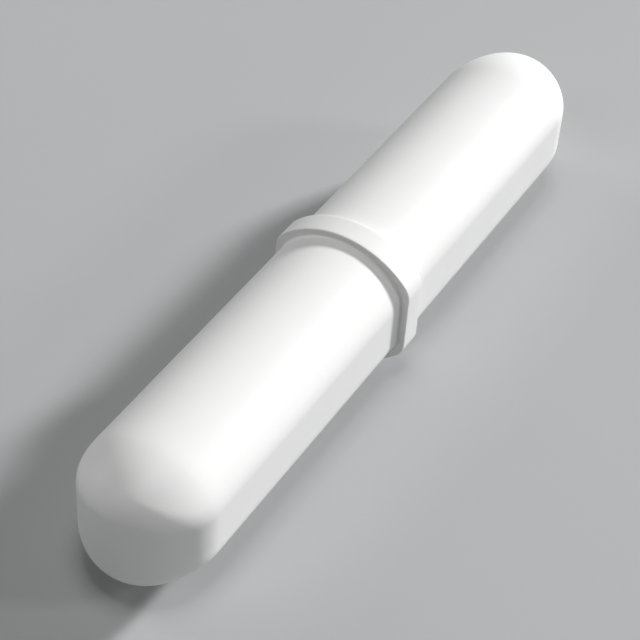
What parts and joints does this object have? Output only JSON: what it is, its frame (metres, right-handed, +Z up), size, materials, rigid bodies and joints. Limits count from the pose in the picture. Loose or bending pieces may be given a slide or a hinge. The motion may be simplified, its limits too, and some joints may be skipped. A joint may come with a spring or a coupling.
{
  "type": "magnetic stir bar",
  "caption": "Long white PTFE stir bar with flat sides, arched top and bottom, rounded ends and a raised pivot ring round its middle, moulded over a rod magnet.",
  "frame": {"origin": "on the lowest line of the pivot ring, under the bar's centre", "axes": "+X along the bar, +Y across it through the flat sides, +Z up through the arched top"},
  "size_m": [0.05, 0.0094, 0.0094],
  "materials": {
    "ptfe": "smooth satin, milky white",
    "magnet_alloy": "ground cast alloy"
  },
  "bodies": {
    "root": {"ptfe_jacket": "ptfe", "bar_magnet": "magnet_alloy"}
  },
  "joints": []
}
